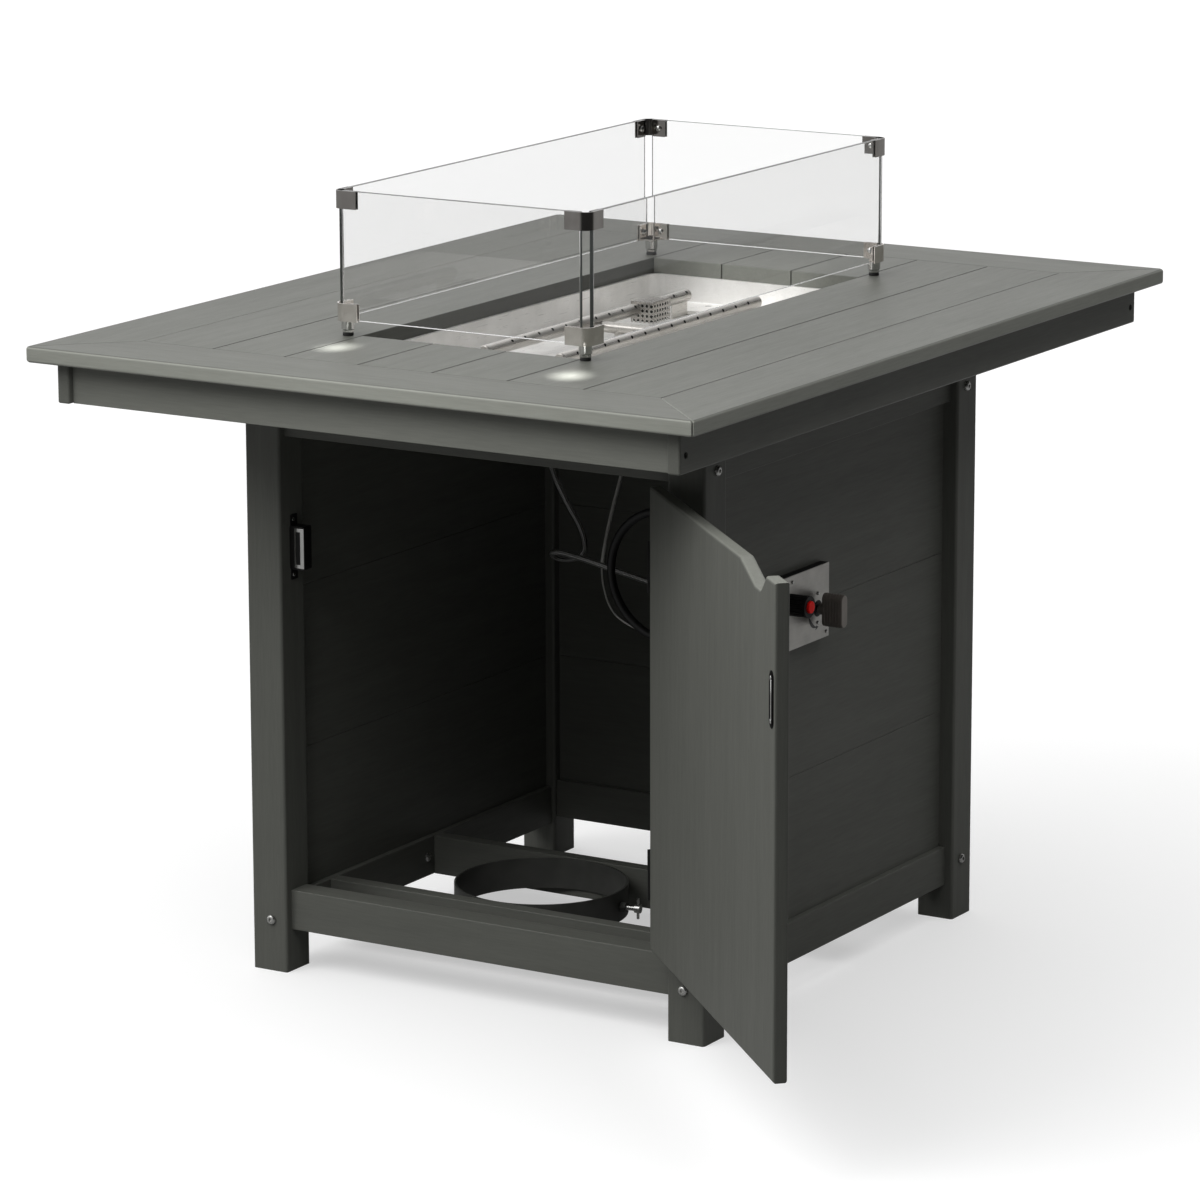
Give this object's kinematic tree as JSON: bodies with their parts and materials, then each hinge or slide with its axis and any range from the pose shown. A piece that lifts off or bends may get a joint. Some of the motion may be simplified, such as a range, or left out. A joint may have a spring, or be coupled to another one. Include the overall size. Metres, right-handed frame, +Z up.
{
  "type": "fire pit table",
  "caption": "Counter-height rectangular table in grey boards with a recessed gas burner under a glass wind guard and a cabinet with a hinged door for the gas tank.",
  "frame": {"origin": "on the floor under the middle of the table top; the open door stands out past one end, so the box of all pieces isn't centred on it", "axes": "+X along the table's length, away from the door; +Y across it, away from the control plate; +Z up"},
  "size_m": [1.496, 1.2472, 1.1125],
  "materials": {
    "poly_lumber": "satin recycled plastic boards in mid grey with a fine embossed grain",
    "painted_steel": "black powder coat",
    "zinc_steel": "bright zinc plate",
    "black_steel": "satin black",
    "black_plastic": "matt black moulding",
    "grey_plastic": "satin dark grey moulding",
    "red_plastic": "gloss red",
    "stainless": "brushed along its length",
    "brass_fitting": "machined brass",
    "steel_braid": "fine stainless braid",
    "white_sleeve": "woven white sleeve",
    "black_hose": "smooth black",
    "grey_regulator": "cast, grey paint",
    "clear_glass": "clear with a green tint at the edges",
    "brushed_clips": "dark brushed",
    "guard_rubber": "soft black",
    "dark_steel": "dark coated heads"
  },
  "bodies": {
    "table_frame": {"border_board_control_side": "poly_lumber", "border_board_far_side": "poly_lumber", "border_board_door_side": "poly_lumber", "border_board_rear_side": "poly_lumber", "deck_boards_control_side": "poly_lumber", "deck_boards_far_side": "poly_lumber", "deck_boards_door_end": "poly_lumber", "deck_boards_rear_end": "poly_lumber", "apron_control_side": "poly_lumber", "apron_far_side": "poly_lumber", "apron_door_side": "poly_lumber", "apron_rear_side": "poly_lumber", "cross_battens": "poly_lumber", "leg_door_control": "poly_lumber", "leg_door_far": "poly_lumber", "leg_rear_control": "poly_lumber", "leg_rear_far": "poly_lumber", "bottom_rail_control_side": "poly_lumber", "bottom_rail_far_side": "poly_lumber", "bottom_rail_door_side": "poly_lumber", "bottom_rail_rear_side": "poly_lumber", "top_rail_control_side": "poly_lumber", "top_rail_far_side": "poly_lumber", "top_rail_door_side": "poly_lumber", "top_rail_rear_side": "poly_lumber", "panel_control_side": "poly_lumber", "panel_far_side": "poly_lumber", "panel_rear_side": "poly_lumber", "tank_rail_door_side": "poly_lumber", "tank_rail_rear_side": "poly_lumber", "tank_ring": "painted_steel", "hinge_halves_leg": "black_steel", "magnetic_catch": "zinc_steel", "control_housing": "black_plastic", "control_plate": "stainless", "gas_valve": "brass_fitting", "igniter_body": "black_plastic", "burner_flex_line": "steel_braid", "igniter_lead": "white_sleeve", "gas_hose": "black_hose", "pressure_regulator": "grey_regulator", "burner_pan": "stainless", "burner": "stainless", "pilot_cover": "stainless", "screws_and_bolts": "dark_steel"},
    "door": {"door": "poly_lumber", "hinge_halves_door": "black_steel", "strike_plate": "zinc_steel"},
    "valve_stem": {"valve_stem": "zinc_steel"},
    "control_knob": {"control_knob": "grey_plastic"},
    "igniter_button": {"igniter_button": "red_plastic"},
    "glass_guard": {"glass_pane_control_side": "clear_glass", "glass_pane_far_side": "clear_glass", "glass_pane_door_side": "clear_glass", "glass_pane_rear_side": "clear_glass", "guard_corner_clips": "brushed_clips", "guard_feet": "guard_rubber"},
    "ring_clamp_screw": {"ring_clamp_screw": "zinc_steel"},
    "tank_coupling_nut": {"tank_coupling_nut": "black_plastic"}
  },
  "joints": [
    {"name": "door_hinge", "type": "hinge", "parent": "table_frame", "child": "door", "pos_m": [-0.386, -0.3065, 0.441], "axis": [0, 0, 1], "range_deg": [-135.4, 44.6]},
    {"name": "knob_turn", "type": "hinge", "parent": "table_frame", "child": "valve_stem", "pos_m": [-0.06, -0.36, 0.536], "axis": [0, -1, 0], "range_deg": [0, 135]},
    {"name": "knob_press", "type": "slide", "parent": "valve_stem", "child": "control_knob", "axis": [0, 1, 0], "range_m": [0, 0.003], "stiffness_N_per_m": 300},
    {"name": "igniter_press", "type": "slide", "parent": "table_frame", "child": "igniter_button", "axis": [0, 1, 0], "range_m": [0, 0.003], "stiffness_N_per_m": 300},
    {"name": "guard_lift", "type": "slide", "parent": "table_frame", "child": "glass_guard", "axis": [0, 0, 1], "range_m": [0, 0.25]},
    {"name": "ring_clamp", "type": "slide", "parent": "table_frame", "child": "ring_clamp_screw", "axis": [-0.1392, 0.9903, 0], "range_m": [0, 0.012]},
    {"name": "coupling_nut_turn", "type": "hinge", "parent": "table_frame", "child": "tank_coupling_nut", "pos_m": [-0.116, -0.252, 0.293], "axis": [0, 0, 1], "continuous": true}
  ]
}
